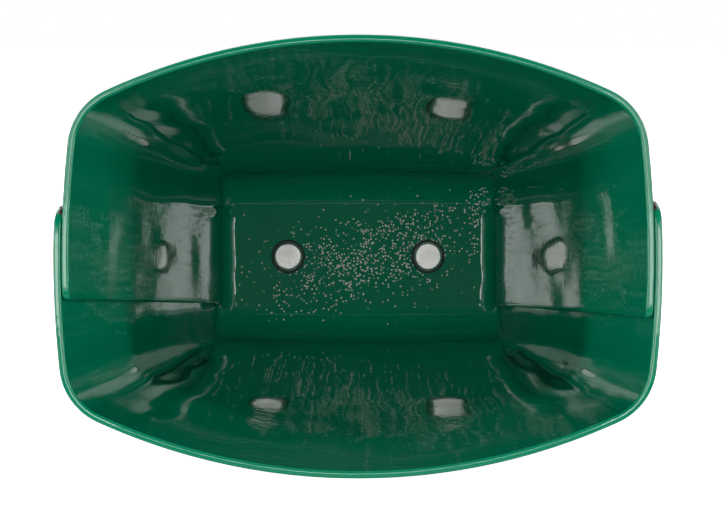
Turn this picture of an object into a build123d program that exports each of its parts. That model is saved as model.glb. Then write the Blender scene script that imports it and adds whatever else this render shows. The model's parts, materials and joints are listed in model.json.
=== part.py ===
from build123d import *

import os
from math import atan2, cos, sin, sqrt

# Percussion bell of folded sheet steel with a rod clamp, lying on its lower face.
#
# One blank makes the body: an upper panel, the closed crown and a lower panel in one U-shaped
# strip, with a flap on each side of each panel. The upper panel's flaps lie inside, the lower
# panel's flaps lap over them outside, and both laps are brazed. Two rivets through the crown
# hold a pressed strap. Its notched lips centre an upright rod, and an eye bolt with a wing nut
# draws the rod into the notches.
#
# Frame: +X across the bell, +Y from the mouth back to the clamp, +Z up. The origin is on the
# surface that the bell lies on, under the middle of its bounding box.

os.makedirs("parts", exist_ok=True)

# Body, in millimetres. The widths and heights are over the outside.
sheet = 1.75  # thickness of the blank with its paint
lap_gap = 0.15  # between the two flaps of a lap
body_length = 200.0  # crown's outer face to the rim
mouth_width = 140.0  # across the outer flaps
mouth_height = 102.0  # across the middle of the bowed panels
mouth_panel_radius = 145.0  # bow of each panel at the rim
mouth_side_radius = 240.0  # bow of each side at the rim
mouth_corner_radius = 15.0  # fold between panel and flap, at the rim
crown_width = 94.0  # across the outer flaps, carried on to the crown's outer face
crown_height = 55.5  # across the panels, carried on to the crown's outer face
crown_corner_radius = 5.0  # fold between panel and flap, at the crown
crown_fold_radius = 11.2  # inside of the fold between panel and crown
fold_overrun = 0.05  # fold's arc starts this far outside the bowed panel, so that they cross

# Free edges of the flaps, as heights above the bell's axis: at the rim and at the crown.
inner_edge_left = (-10.0, -15.2)
inner_edge_right = (-14.2, -15.7)
outer_edge_left = (11.7, 13.5)
outer_edge_right = (12.8, 14.0)
inner_flap_corner = 1.5  # rounded corner at the rim
outer_flap_corner = 5.0

# Braze metal.
seam_bead_height = 1.6  # along the free edge of each outer flap
seam_bead_width = 1.5
seam_bead_root = 0.6  # how far it runs into the lap
seam_bead_end = 6.0  # from the crown's outer face
crown_bead_leg = 2.6  # inside, where the crown's ends meet the flaps
crown_bead_root = 0.5  # how far its blank reaches into the sheets

# Rivets that hold the strap on the crown.
rivet_bend_clearance = 0.3  # between a rivet's head and the strap's bend
rivet_diameter = 5.0
rivet_hole_clearance = 0.05  # on the radius
rivet_head_diameter = 9.4
rivet_head_height = 3.0
rivet_head_round = 2.2
rivet_tail_diameter = 9.4
rivet_tail_height = 2.4
rivet_tail_round = 0.8
rivet_washer_diameter = 10.8
rivet_washer_thickness = 1.0

# Strap of the rod clamp.
strap_thickness = 2.5
strap_width = 24.0
strap_bend = 1.6  # inside radius of its bends
foot_end_margin = 8.4  # rivet's axis to the end of the foot
foot_corner = 5.0
lip_relief = 1.5  # slot between each lip and the strap's bend
notch_height = 7.5  # of the right-angled notch in each lip

# Rod that the clamp holds, and how far its eye travels from open to tight.
rod_diameter = 9.5
rod_clearance = 0.25  # on the radius, in the eye
draw_travel = 2.5

# Eye bolt, its washers and the wing nut. The clamp is open, so the nut is just off its seat.
eye_diameter = 20.0
eye_width = 8.0
eye_edge_chamfer = 1.2
eye_web_clearance = 1.0  # left when the clamp is tight
eye_crown_clearance = 1.5
eye_leg_clearance = 3.5
bolt_diameter = 6.0
bolt_hole_clearance = 0.3  # on the radius, through the web and the washers
thread_clearance = 0.06  # on the radius, in the nut
bolt_end_beyond_nut = 1.6
bolt_end_chamfer = 0.7
flat_washer_diameter = 12.5
flat_washer_thickness = 1.6
lock_washer_diameter = 11.0
lock_washer_thickness = 1.6
lock_washer_split = 1.2
nut_running_gap = 0.1
nut_base_diameter = 13.0
nut_top_diameter = 10.0
nut_height = 8.0
wing_span = 32.0
wing_rise = 16.0  # nut's seat to the tips of its wings
wing_thickness = 3.2
wing_tip_radius = 4.2
wing_root_radius = 2.6
wing_root_drop = 1.2  # wing's lower edge above the nut's seat

beyond = 400.0  # larger than the bell, for cutting shapes
inner_flap_offset = sheet + lap_gap
panel_slope = (mouth_height - crown_height) / 2 / body_length
side_slope = (mouth_width - crown_width) / 2 / body_length

# The strap leaves room for the eye. Its notches hold the rod where the drawn eye has it: the
# rod touches the eye's far wall, and sits in a notch at its radius times root two.
eye_hole_diameter = rod_diameter + 2 * rod_clearance
eye_to_web = eye_web_clearance + draw_travel + eye_diameter / 2
strap_reach = eye_to_web + eye_diameter / 2 + eye_crown_clearance
strap_gap = eye_diameter + 2 * eye_leg_clearance
rivet_spacing = (
    strap_gap + 2 * (strap_thickness + strap_bend + rivet_bend_clearance) + rivet_head_diameter
)
notch_apex = eye_to_web - draw_travel + rod_clearance - rod_diameter / sqrt(2)
lip_depth = notch_apex + notch_height

# Places along the bell's axis, from the crown's outer face: positive towards the mouth.
tail_seat = sheet + rivet_washer_thickness
web_inside = -strap_reach
web_outside = web_inside - strap_thickness
eye_centre = web_inside + eye_to_web
lock_washer_seat = web_outside - flat_washer_thickness
nut_seat = lock_washer_seat - lock_washer_thickness - nut_running_gap
bolt_end = nut_seat - nut_height - bolt_end_beyond_nut
wing_tips = nut_seat - wing_rise

# The bell lies on the straight middle line of its lower panel, so its axis is tilted.
lie_angle = atan2(panel_slope, 1)
front = body_length * cos(lie_angle) + mouth_height / 2 * sin(lie_angle)
back = -wing_tips * cos(lie_angle) + wing_thickness / 2 * sin(lie_angle)

# The bell's own planes. bell has z towards the mouth, and turned is bell half a turn about
# its axis. upright and across both hold the axis: their y runs along it to the mouth, and
# their x runs up the bell and across it.
bell = Plane(
    origin=(0, (front - back) / 2, crown_height / 2 * cos(lie_angle)),
    x_dir=(1, 0, 0),
    z_dir=(0, -cos(lie_angle), sin(lie_angle)),
)
turned = Plane(origin=bell.origin, x_dir=-bell.x_dir, z_dir=bell.z_dir)
upright = Plane(origin=bell.origin, x_dir=bell.y_dir, z_dir=bell.x_dir)
across = Plane(origin=bell.origin, x_dir=bell.x_dir, z_dir=-bell.y_dir)
along = Axis(bell.origin, bell.z_dir)


def cut_open(half_width, left, right):
    """Cut a section open below the line between the free edges of its two flaps."""
    below = Polygon(
        (-beyond, left),
        (-half_width, left),
        (half_width, right),
        (beyond, right),
        (beyond, -beyond),
        (-beyond, -beyond),
        align=None,
        mode=Mode.PRIVATE,
    )
    add(below, mode=Mode.SUBTRACT)


def mouth_section(plane, half_width, inset, left, right):
    """Half of the section at the rim: a bowed panel, two folds and two bowed sides.

    The outline is moved in by inset, and left and right are its free edges' heights.
    """
    panel = mouth_panel_radius - inset
    side = mouth_side_radius - inset
    with BuildSketch(plane) as section:
        with Locations((0, mouth_height / 2 - inset - panel)):
            Circle(panel)
        with Locations((half_width - inset - side, 0)):
            Circle(side, mode=Mode.INTERSECT)
        with Locations((side - half_width + inset, 0)):
            Circle(side, mode=Mode.INTERSECT)
        cut_open(half_width, left, right)
        fillet(section.vertices().group_by(Axis.Y)[-1], mouth_corner_radius - inset)
    return section.sketch


def crown_section(plane, half_width, inset, left, right):
    """Half of the section at the crown: the same outline with a straight panel and sides."""
    with BuildSketch(plane) as section:
        with Locations((0, crown_height / 2 - inset - beyond / 2)):
            Rectangle(2 * (half_width - inset), beyond)
        cut_open(half_width, left, right)
        fillet(section.vertices().group_by(Axis.Y)[-1], crown_corner_radius - inset)
    return section.sketch


def half_solid(plane, offset, inset, left, right):
    """Tapered solid of one half of the bell, rounded where its panel folds into the crown.

    offset is how far its flaps lie inside the overall width, inset moves every face in, and
    left and right are the free edges' heights, each at the rim and at the crown.
    """
    at_crown = crown_height / 2 - inset + panel_slope * inset + fold_overrun
    at_rim = mouth_height / 2 - inset + fold_overrun
    with BuildPart() as solid:
        rim = plane.offset(body_length)
        add(mouth_section(rim, mouth_width / 2 - offset, inset, left[0], right[0]))
        add(crown_section(plane, crown_width / 2 - offset, inset, left[1], right[1]))
        loft(ruled=True)
        with BuildSketch(upright) as profile:
            Polygon(
                (-at_rim, body_length),
                (-at_crown, inset),
                (at_crown, inset),
                (at_rim, body_length),
                align=None,
            )
            corners = profile.vertices().group_by(Axis.Y)[0]
            fillet(corners, crown_fold_radius + sheet - inset)
        extrude(amount=beyond, both=True, mode=Mode.INTERSECT)
    return solid.part


def folded_half(plane, offset, left, right, corner):
    """Sheet of one half of the bell: its panel, its two flaps and the crown behind them."""
    drop = 2 * sheet
    lower_left = [height - drop for height in left]
    lower_right = [height - drop for height in right]
    with BuildPart() as half:
        add(half_solid(plane, offset, 0, left, right))
        add(half_solid(plane, offset, sheet, lower_left, lower_right), mode=Mode.SUBTRACT)
        rim_edges = half.faces().sort_by(along)[-1].edges()
        fillet(rim_edges.sort_by(SortBy.LENGTH)[:2], corner)
    return half.part


def ring(plane, height, outer, inner):
    """Flat washer that stands on a plane."""
    with BuildPart() as washer:
        with BuildSketch(plane):
            Circle(outer / 2)
            Circle(inner / 2, mode=Mode.SUBTRACT)
        extrude(amount=height)
    return washer.part


def finish(part, label):
    """Name a piece and write its file."""
    part.label = label
    export_step(part, f"parts/{label}.step")


# Body: the upper half with its inner flaps and the lower half with its outer flaps. The
# lower half is made upside down, so its left flap is the turned plane's right one.
upper_half = folded_half(
    bell, inner_flap_offset, inner_edge_left, inner_edge_right, inner_flap_corner
)
lower_half = folded_half(
    turned,
    0,
    [-height for height in outer_edge_right],
    [-height for height in outer_edge_left],
    outer_flap_corner,
)

with BuildPart() as bell_shell:
    add(upper_half)
    add(lower_half)
    with BuildSketch(bell.offset(-sheet)):
        with GridLocations(rivet_spacing, 1, 2, 1):
            Circle(rivet_diameter / 2 + rivet_hole_clearance)
    extrude(amount=3 * sheet, mode=Mode.SUBTRACT)
finish(bell_shell.part, "bell_shell")

# Braze beads on the free edges of the outer flaps, against the inner flaps. Each section
# runs a little into the sheets and the lap, and the body is then cut out of it.
def bead_section(side, height, edge):
    """Section of a seam bead across the bell, at a height above the crown's outer face."""
    half_width = (crown_width + (mouth_width - crown_width) * height / body_length) / 2
    wall = half_width - inner_flap_offset
    level = edge[1] + (edge[0] - edge[1]) * height / body_length
    with BuildSketch(bell.offset(height)) as section:
        Polygon(
            (side * (wall - seam_bead_root), level - seam_bead_root),
            (side * (wall + seam_bead_width), level - seam_bead_root),
            (side * (wall + seam_bead_width), level),
            (side * wall, level + seam_bead_height),
            (side * (wall - seam_bead_root), level + seam_bead_height),
            align=None,
        )
    return section.sketch


for name, side, edge in (("left", -1, outer_edge_left), ("right", 1, outer_edge_right)):
    with BuildPart() as seam_braze:
        add(bead_section(side, body_length - outer_flap_corner, edge))
        add(bead_section(side, seam_bead_end, edge))
        loft(ruled=True)
        add(bell_shell.part, mode=Mode.SUBTRACT)
    finish(seam_braze.part, f"{name}_seam_braze")

# Braze in the corners inside, where the ends of the crown meet the inner flaps.
flat_half = crown_height / 2 - sheet - crown_fold_radius
flap_inside = crown_width / 2 - inner_flap_offset - sheet + side_slope * sheet
for name, side in (("left", -1), ("right", 1)):
    foot = side * (flap_inside - crown_bead_leg)
    wall = side * (flap_inside + side_slope * crown_bead_leg)
    root = side * (flap_inside + crown_bead_root)
    with BuildPart() as crown_braze:
        with BuildSketch(across):
            with BuildLine():
                RadiusArc((foot, sheet), (wall, sheet + crown_bead_leg), side * crown_bead_leg)
                Polyline(
                    (wall, sheet + crown_bead_leg),
                    (root, sheet + crown_bead_leg),
                    (root, sheet - crown_bead_root),
                    (foot, sheet - crown_bead_root),
                    (foot, sheet),
                )
            make_face()
        extrude(amount=flat_half, both=True)
        add(bell_shell.part, mode=Mode.SUBTRACT)
    finish(crown_braze.part, f"{name}_crown_braze")

# Rivets, with their heads outside on the strap's feet and their tails hammered flat inside.
for name, side in (("left", -1), ("right", 1)):
    seat = Plane(
        origin=bell.from_local_coords((side * rivet_spacing / 2, 0, 0)),
        x_dir=bell.x_dir,
        z_dir=bell.z_dir,
    )
    with BuildPart() as rivet:
        with BuildSketch(seat.offset(-strap_thickness)):
            Circle(rivet_head_diameter / 2)
        extrude(amount=-rivet_head_height)
        fillet(rivet.edges().sort_by(along)[0], rivet_head_round)
        with BuildSketch(seat.offset(tail_seat)):
            Circle(rivet_tail_diameter / 2)
        extrude(amount=rivet_tail_height)
        fillet(rivet.edges().sort_by(along)[-1], rivet_tail_round)
        with BuildSketch(seat.offset(-strap_thickness)):
            Circle(rivet_diameter / 2)
        extrude(amount=strap_thickness + tail_seat)
    finish(rivet.part, f"{name}_rivet")
    rivet_hole = rivet_diameter + 2 * rivet_hole_clearance
    washer = ring(seat.offset(sheet), rivet_washer_thickness, rivet_washer_diameter, rivet_hole)
    finish(washer, f"{name}_rivet_washer")

# Strap: a hat-shaped strip on the crown, with a notched lip bent inwards at the top and the
# bottom of its web and relief slots beside the lips.
bend_line = strap_bend + strap_thickness / 2
web_middle = web_inside - strap_thickness / 2
leg_middle = strap_gap / 2 + strap_thickness / 2
foot_end = rivet_spacing / 2 + foot_end_margin
bend_start = strap_width / 2 - strap_thickness - strap_bend
lip_middle = strap_width / 2 - strap_thickness / 2
lip_edge = web_inside + lip_depth
notch_bottom = web_inside + notch_apex
lip_half_width = strap_gap / 2 - strap_bend - lip_relief

with BuildPart() as mount_bracket:
    with BuildSketch(across):
        with BuildLine() as hat:
            FilletPolyline(
                (-foot_end, -strap_thickness / 2),
                (-leg_middle, -strap_thickness / 2),
                (-leg_middle, web_middle),
                (leg_middle, web_middle),
                (leg_middle, -strap_thickness / 2),
                (foot_end, -strap_thickness / 2),
                radius=bend_line,
            )
        trace(hat.line, strap_thickness)
    extrude(amount=strap_width / 2, both=True)
    ends = mount_bracket.edges().filter_by(Axis(bell.origin, bell.z_dir))
    fillet(ends.group_by(Axis.X)[0] + ends.group_by(Axis.X)[-1], foot_corner)

    for side in (-1, 1):
        with BuildSketch(bell.offset(web_inside)):
            with Locations((0, side * (bend_start + strap_width / 2))):
                Rectangle(2 * (lip_half_width + lip_relief), strap_width)
        extrude(amount=-strap_thickness, mode=Mode.SUBTRACT)
        with BuildSketch(upright):
            with BuildLine() as lip:
                FilletPolyline(
                    (0, web_middle),
                    (side * lip_middle, web_middle),
                    (side * lip_middle, lip_edge),
                    radius=bend_line,
                )
            trace(lip.line, strap_thickness)
        extrude(amount=lip_half_width, both=True)

    notch_depth = lip_edge - notch_bottom + strap_bend
    with BuildSketch(across):
        Polygon(
            (0, notch_bottom),
            (notch_depth, notch_bottom + notch_depth),
            (-notch_depth, notch_bottom + notch_depth),
            align=None,
        )
    extrude(amount=strap_width, both=True, mode=Mode.SUBTRACT)

    with BuildSketch(bell.offset(-strap_thickness)):
        with GridLocations(rivet_spacing, 1, 2, 1):
            Circle(rivet_diameter / 2 + rivet_hole_clearance)
    extrude(amount=strap_thickness, mode=Mode.SUBTRACT)
    with BuildSketch(bell.offset(web_outside)):
        Circle(bolt_diameter / 2 + bolt_hole_clearance)
    extrude(amount=strap_thickness, mode=Mode.SUBTRACT)
finish(mount_bracket.part, "mount_bracket")

# Eye bolt: a flat forged eye across the bell's axis and a shank out through the web.
with BuildPart() as eye_bolt:
    with BuildSketch(across):
        with Locations((0, eye_centre)):
            Circle(eye_diameter / 2)
    extrude(amount=eye_width / 2, both=True)
    chamfer(eye_bolt.edges().filter_by(GeomType.CIRCLE), eye_edge_chamfer)
    with BuildSketch(bell.offset(eye_centre)):
        Circle(bolt_diameter / 2)
    extrude(amount=bolt_end - eye_centre)
    chamfer(eye_bolt.edges().sort_by(along)[0], bolt_end_chamfer)
    with BuildSketch(across):
        with Locations((0, eye_centre)):
            Circle(eye_hole_diameter / 2)
    extrude(amount=eye_width, both=True, mode=Mode.SUBTRACT)
finish(eye_bolt.part, "eye_bolt")

# Washers under the nut: a flat one, and a spring one with its split.
washer_hole = bolt_diameter + 2 * bolt_hole_clearance
flat_washer = ring(bell.offset(web_outside), -flat_washer_thickness, flat_washer_diameter,
                   washer_hole)
finish(flat_washer, "flat_washer")

with BuildPart() as lock_washer:
    add(ring(bell.offset(lock_washer_seat), -lock_washer_thickness, lock_washer_diameter,
             washer_hole))
    with BuildSketch(bell.offset(lock_washer_seat)):
        with Locations((0, -lock_washer_diameter / 2)):
            Rectangle(lock_washer_split, lock_washer_diameter)
    extrude(amount=-lock_washer_thickness, mode=Mode.SUBTRACT)
finish(lock_washer.part, "lock_washer")

# Wing nut: a tapered hub with two flat wings, threaded on the shank.
tip_x = wing_span / 2 - wing_tip_radius
tip_y = nut_seat - wing_rise + wing_tip_radius
root_x = nut_top_diameter / 2 - wing_root_radius / 2
root_y = nut_seat - wing_root_drop - wing_root_radius
with BuildPart() as wing_nut:
    with BuildSketch(bell.offset(nut_seat)):
        Circle(nut_base_diameter / 2)
    with BuildSketch(bell.offset(nut_seat - nut_height)):
        Circle(nut_top_diameter / 2)
    loft()
    for side in (-1, 1):
        with BuildSketch(across):
            with BuildSketch(across, mode=Mode.PRIVATE) as lobes:
                with Locations((side * tip_x, tip_y)):
                    Circle(wing_tip_radius)
                with Locations((side * root_x, root_y)):
                    Circle(wing_root_radius)
            make_hull(lobes.sketch_local.edges())
        extrude(amount=wing_thickness / 2, both=True)
    with BuildSketch(bell.offset(nut_seat)):
        Circle(bolt_diameter / 2 + thread_clearance)
    extrude(amount=-wing_rise, mode=Mode.SUBTRACT)
finish(wing_nut.part, "wing_nut")
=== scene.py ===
"""Looks of a folded sheet-steel percussion bell and the rod clamp riveted behind its crown.

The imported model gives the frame, the joints and the places. Everything drawn here is worked
out in the bell's own coordinates, in millimetres, and then put into the row frame: u runs
across the bell, v up it, and w along its axis from the crown's outer face to the mouth.
"""

import json
import logging
import math
from dataclasses import dataclass, field
from enum import Enum

import bmesh
import bpy
import numpy as np
from mathutils import Matrix, Vector


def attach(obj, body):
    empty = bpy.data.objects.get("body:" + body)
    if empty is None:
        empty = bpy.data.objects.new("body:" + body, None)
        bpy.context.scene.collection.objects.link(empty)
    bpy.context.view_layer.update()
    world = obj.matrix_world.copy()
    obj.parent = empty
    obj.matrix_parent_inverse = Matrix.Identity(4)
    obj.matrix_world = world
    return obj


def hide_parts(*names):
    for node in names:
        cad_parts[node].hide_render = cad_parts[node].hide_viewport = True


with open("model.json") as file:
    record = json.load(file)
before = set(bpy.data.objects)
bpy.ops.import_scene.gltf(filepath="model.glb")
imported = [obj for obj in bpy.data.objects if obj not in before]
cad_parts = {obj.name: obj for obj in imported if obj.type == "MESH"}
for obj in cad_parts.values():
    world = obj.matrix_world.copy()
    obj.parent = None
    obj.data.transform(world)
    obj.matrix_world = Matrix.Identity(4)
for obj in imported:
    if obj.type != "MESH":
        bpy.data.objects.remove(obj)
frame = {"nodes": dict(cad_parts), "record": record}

LOG = logging.getLogger("bell")
MM = 0.001  # metres in a millimetre
WELD = 1e-6  # metres within which two points are one
SEED = 20  # start of every random draw
TURN_COLUMNS = 72  # columns of a small turned piece
ARC_STEPS = 5  # segments of a rounded corner
WAVE_GAIN = 1.8  # brings the mean of several waves back to about -1 to 1
SETTLE_STEPS = 12  # rounds in which a corner arc settles between a panel and a side
FAR = 1e9  # a place that no piece reaches


# ---------------------------------------------------------------- frame and mesh helpers


@dataclass(frozen=True)
class BellAxes:
    """Places bell coordinates in the row frame.

    Args:
        origin: middle of the crown's outer face, in metres.
        across: unit vector of u.
        up: unit vector of v.
        along: unit vector of w, towards the mouth.
    """

    origin: np.ndarray
    across: np.ndarray
    up: np.ndarray
    along: np.ndarray

    @classmethod
    def from_record(cls, record: dict, eye_depth: float) -> "BellAxes":
        """Reads the axes from the rod mount and the bolt's slide.

        Args:
            record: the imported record.
            eye_depth: millimetres from the crown's outer face back to the eye's centre.

        Returns:
            The bell's axes in the row frame.
        """
        mount = next(m for m in record["mounts"] if m["name"] == "rod_eye")
        draw = next(j for j in record["behaviour"]["joints"] if j["name"] == "eye_bolt_draw")
        up = np.array(mount["axis"], float)
        along = -np.array(draw["axis"], float)
        along /= np.linalg.norm(along)
        up -= along * up.dot(along)
        up /= np.linalg.norm(up)
        origin = np.array(mount["pos_m"], float) + along * eye_depth * MM
        return cls(origin, np.cross(up, along), up, along)

    def place(self, points: np.ndarray) -> np.ndarray:
        """Turns (..., 3) bell coordinates in millimetres into row coordinates in metres."""
        basis = np.stack((self.across, self.up, self.along))
        return self.origin + np.asarray(points, float) @ basis * MM


class MeshMaker:
    """Collects grids and faces in bell coordinates and welds them into one mesh."""

    def __init__(self) -> None:
        """Starts with no points and no faces."""
        self.points: list[np.ndarray] = []
        self.faces: list[np.ndarray] = []
        self.polygons: list[list[int]] = []
        self.count = 0

    def _push(self, points: np.ndarray) -> int:
        """Adds points to the mesh.

        Args:
            points: (..., 3) bell coordinates.

        Returns:
            The index of the first of them.
        """
        first = self.count
        flat = points.reshape(-1, 3)
        self.points.append(flat)
        self.count += len(flat)
        return first

    def grid(self, points: np.ndarray, closed: bool = False) -> None:
        """Adds a surface of two parameters as quads between neighbouring grid points.

        Args:
            points: (rows, columns, 3) bell coordinates.
            closed: joins the last column to the first.
        """
        first = self._push(points)
        rows, columns = points.shape[:2]
        index = first + np.arange(rows * columns).reshape(rows, columns)
        if closed:
            index = np.concatenate((index, index[:, :1]), axis=1)
        quads = np.stack(
            (index[:-1, :-1], index[:-1, 1:], index[1:, 1:], index[1:, :-1]), axis=-1
        )
        self.faces.append(quads.reshape(-1, 4))

    def polygon(self, points: np.ndarray) -> None:
        """Adds one flat face through the points, in order."""
        first = self._push(points)
        self.polygons.append(list(range(first, first + len(points))))

    def tube(self, points: np.ndarray) -> None:
        """Adds closed sections carried along a path, with a face on each end.

        Args:
            points: (sections, points of a section, 3) bell coordinates.
        """
        self.grid(points, closed=True)
        self.polygon(points[0])
        self.polygon(points[-1])

    def turned(self, profile: np.ndarray, centre: tuple[float, float] = (0.0, 0.0),
               columns: int = 64) -> np.ndarray:
        """Points of a surface turned about a line along w.

        A point (r, w) of the profile becomes (cu + r cos a, cv + r sin a, w) for each angle
        a. A profile that starts and ends at r = 0, or that closes on itself, gives a closed
        surface.

        Args:
            profile: (rows, 2) radius and w.
            centre: cu and cv of the line.
            columns: how many angles.

        Returns:
            (rows, columns, 3) points for grid(closed=True).
        """
        angle = np.linspace(0, 2 * math.pi, columns, endpoint=False)
        r, w = profile[:, :1], profile[:, 1:]
        return np.stack((centre[0] + r * np.cos(angle), centre[1] + r * np.sin(angle),
                         w + 0 * angle), axis=-1)

    def build(self, name: str, axes: BellAxes, sharp_degrees: float = 35.0) -> bpy.types.Object:
        """Makes the object: doubles merged, faces outward, smooth but for sharp edges.

        Args:
            name: the piece's name.
            axes: where bell coordinates lie in the row frame.
            sharp_degrees: an edge that turns more than this stays crisp.

        Returns:
            The new object, at the origin, with its place in its mesh.
        """
        mesh = bpy.data.meshes.new(name)
        quads = [quad for block in self.faces for quad in block.tolist()]
        mesh.from_pydata(axes.place(np.concatenate(self.points)).tolist(), [],
                         quads + self.polygons)
        tidy_mesh(mesh, sharp_degrees)
        piece = bpy.data.objects.new(name, mesh)
        bpy.context.scene.collection.objects.link(piece)
        return piece


def tidy_mesh(mesh: bpy.types.Mesh, sharp_degrees: float) -> None:
    """Merges doubles, turns faces outward, shades smooth and marks the sharp edges.

    Args:
        mesh: the mesh, changed in place.
        sharp_degrees: an edge that turns more than this stays crisp.
    """
    work = bmesh.new()
    work.from_mesh(mesh)
    bmesh.ops.remove_doubles(work, verts=work.verts, dist=WELD)
    bmesh.ops.dissolve_degenerate(work, edges=work.edges, dist=WELD)
    bmesh.ops.recalc_face_normals(work, faces=work.faces)
    limit = math.radians(sharp_degrees)
    for face in work.faces:
        face.smooth = True
    for edge in work.edges:
        edge.smooth = len(edge.link_faces) == 2 and edge.calc_face_angle(0.0) < limit
    work.to_mesh(mesh)
    work.free()
    mesh.update()


def finish_mesh(piece: bpy.types.Object, sharp_degrees: float) -> None:
    """Applies a piece's modifiers and tidies the mesh that they leave.

    Args:
        piece: the piece, which keeps no modifiers.
        sharp_degrees: an edge that turns more than this stays crisp.
    """
    bpy.context.view_layer.update()
    graph = bpy.context.evaluated_depsgraph_get()
    mesh = bpy.data.meshes.new_from_object(piece.evaluated_get(graph))
    piece.modifiers.clear()
    mesh.name = piece.name
    piece.data = mesh
    tidy_mesh(mesh, sharp_degrees)


def hand_over(piece: bpy.types.Object, body: str, slot: str, *nodes: str) -> bpy.types.Object:
    """Puts a piece on its body and in place of its CAD nodes.

    Args:
        piece: the finished piece.
        body: the body that it moves with.
        slot: the record's material slot; not used.
        nodes: the CAD nodes that it stands for.

    Returns:
        The same piece.
    """
    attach(piece, body)
    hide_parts(*nodes)
    return piece


def outline(corners: list[tuple[float, float, float]], closed: bool = False,
            steps: int = ARC_STEPS) -> np.ndarray:
    """Polyline whose corners are rounded.

    An arc of radius r at a corner of opening angle q starts r / tan(q / 2) from it, and its
    centre is r / sin(q / 2) from it along the bisector.

    Args:
        corners: x, y and the radius of each corner; 0 keeps it crisp.
        closed: joins the last corner to the first, and repeats the first point at the end.
        steps: segments of each arc.

    Returns:
        (count, 2) points.
    """
    places = np.array(corners, float)[:, :2]
    parts = []
    for i, (x, y, radius) in enumerate(corners):
        corner = np.array((x, y))
        if radius == 0 or (not closed and i in (0, len(corners) - 1)):
            parts.append(corner[None])
            continue
        back, on = places[i - 1] - corner, places[(i + 1) % len(corners)] - corner
        back, on = back / np.linalg.norm(back), on / np.linalg.norm(on)
        half = math.acos(np.clip(back @ on, -1, 1)) / 2
        bisector = (back + on) / np.linalg.norm(back + on)
        centre = corner + bisector * radius / math.sin(half)
        start, end = corner + back * radius / math.tan(half), corner + on * radius / math.tan(half)
        share = np.linspace(0, 1, steps + 1)[:, None]
        arc = (start - centre) * (1 - share) + (end - centre) * share
        parts.append(centre + arc / np.linalg.norm(arc, axis=1, keepdims=True) * radius)
    points = np.concatenate(parts)
    return np.concatenate((points, points[:1])) if closed else points


def ease(x: np.ndarray, low: float, high: float) -> np.ndarray:
    """Smooth step from 0 at low to 1 at high: t * t * (3 - 2 t)."""
    t = np.clip((np.asarray(x, float) - low) / (high - low), 0.0, 1.0)
    return t * t * (3.0 - 2.0 * t)


def waves(points: np.ndarray, pitch: float, seed: int, count: int = 7) -> np.ndarray:
    """Smooth random field: the mean of plane waves with seeded directions and phases.

    Args:
        points: (..., 3) bell coordinates.
        pitch: mean wavelength in millimetres.
        seed: start of the random draws.
        count: how many waves are added.

    Returns:
        Values of about -1 to 1, one for each point.
    """
    draws = np.random.default_rng(seed)
    directions = draws.normal(size=(count, 3))
    directions /= np.linalg.norm(directions, axis=1, keepdims=True)
    rates = 2 * np.pi / (pitch * draws.uniform(0.7, 1.5, count))
    phases = draws.uniform(0, 2 * np.pi, count)
    return np.sin(points @ (directions * rates[:, None]).T + phases).mean(axis=-1) * WAVE_GAIN


class Side(Enum):
    """The two sides of the bell, as the sign of u."""

    LEFT = -1
    RIGHT = 1

    def named(self, what: str) -> str:
        """Name of this side's piece."""
        return f"{self.name.lower()}_{what}"


# ---------------------------------------------------------------- sizes


@dataclass(frozen=True)
class BellShape:
    """Sizes of the folded body, in millimetres, over its outside."""

    sheet: float = 1.75
    lap_gap: float = 0.15
    length: float = 200.0
    mouth_width: float = 140.0
    mouth_height: float = 102.0
    panel_radius: float = 145.0
    side_radius: float = 240.0
    mouth_corner: float = 15.0
    crown_width: float = 94.0
    crown_height: float = 55.5
    crown_corner: float = 5.0
    fold_radius: float = 11.2
    edge_round: float = 0.52
    rivet_spacing: float = 45.2

    def share(self, w: np.ndarray) -> np.ndarray:
        """How far each w is from the crown to the mouth, kept just above 0."""
        return np.clip(w / self.length, 1e-3, 1.0)

    @property
    def panel_slope(self) -> float:
        """Rise of the panel's middle line for each millimetre towards the mouth."""
        return (self.mouth_height - self.crown_height) / 2 / self.length

    @property
    def side_slope(self) -> float:
        """Spread of each side for each millimetre towards the mouth."""
        return (self.mouth_width - self.crown_width) / 2 / self.length

    @property
    def inner_offset(self) -> float:
        """How far the inner flaps lie inside the outer ones."""
        return self.sheet + self.lap_gap


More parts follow.
